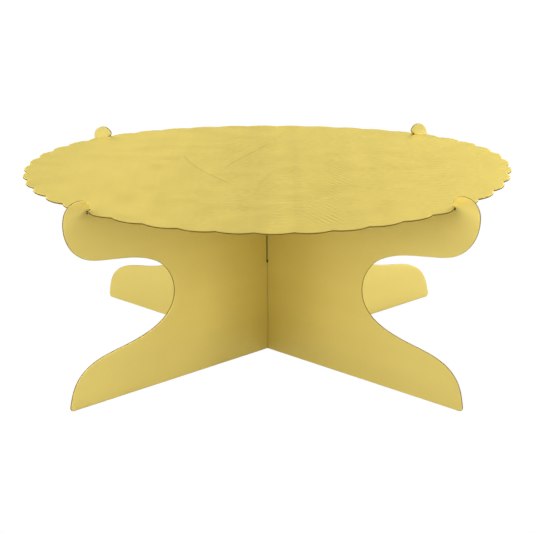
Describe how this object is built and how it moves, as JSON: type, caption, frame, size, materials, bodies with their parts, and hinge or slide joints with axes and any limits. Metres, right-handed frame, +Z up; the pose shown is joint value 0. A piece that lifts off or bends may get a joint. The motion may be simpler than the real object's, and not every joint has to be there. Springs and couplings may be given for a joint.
{
  "type": "cake stand",
  "caption": "Flat-pack gold card cake stand: a scalloped round plate hooked onto half-lapped cross panels with wavy hook-and-foot ends.",
  "frame": {"origin": "on the floor, on the vertical axis where the two cross panels meet", "axes": "+Z up through the plate's centre, +X along panel A, +Y along panel B"},
  "size_m": [0.332, 0.332, 0.1268],
  "materials": {
    "greyboard": "raw die-cut greyboard edge",
    "plate_foil": "satin gold foil paper",
    "underside_foil": "satin gold foil paper",
    "leg_foil": "satin gold foil paper"
  },
  "bodies": {
    "leg_a": {"leg_a_board": "greyboard", "leg_a_front_foil": "leg_foil", "leg_a_back_foil": "leg_foil"},
    "leg_b": {"leg_b_board": "greyboard", "leg_b_front_foil": "leg_foil", "leg_b_back_foil": "leg_foil"},
    "plate": {"plate_board": "greyboard", "plate_top_foil": "plate_foil", "plate_underside_foil": "underside_foil"}
  },
  "joints": [
    {"name": "leg_b_lift", "type": "slide", "parent": "leg_a", "child": "leg_b", "axis": [0, 0, 1], "range_m": [0, 0.125]},
    {"name": "plate_lift", "type": "slide", "parent": "leg_b", "child": "plate", "axis": [0, 0, 1], "range_m": [0, 0.04]}
  ]
}
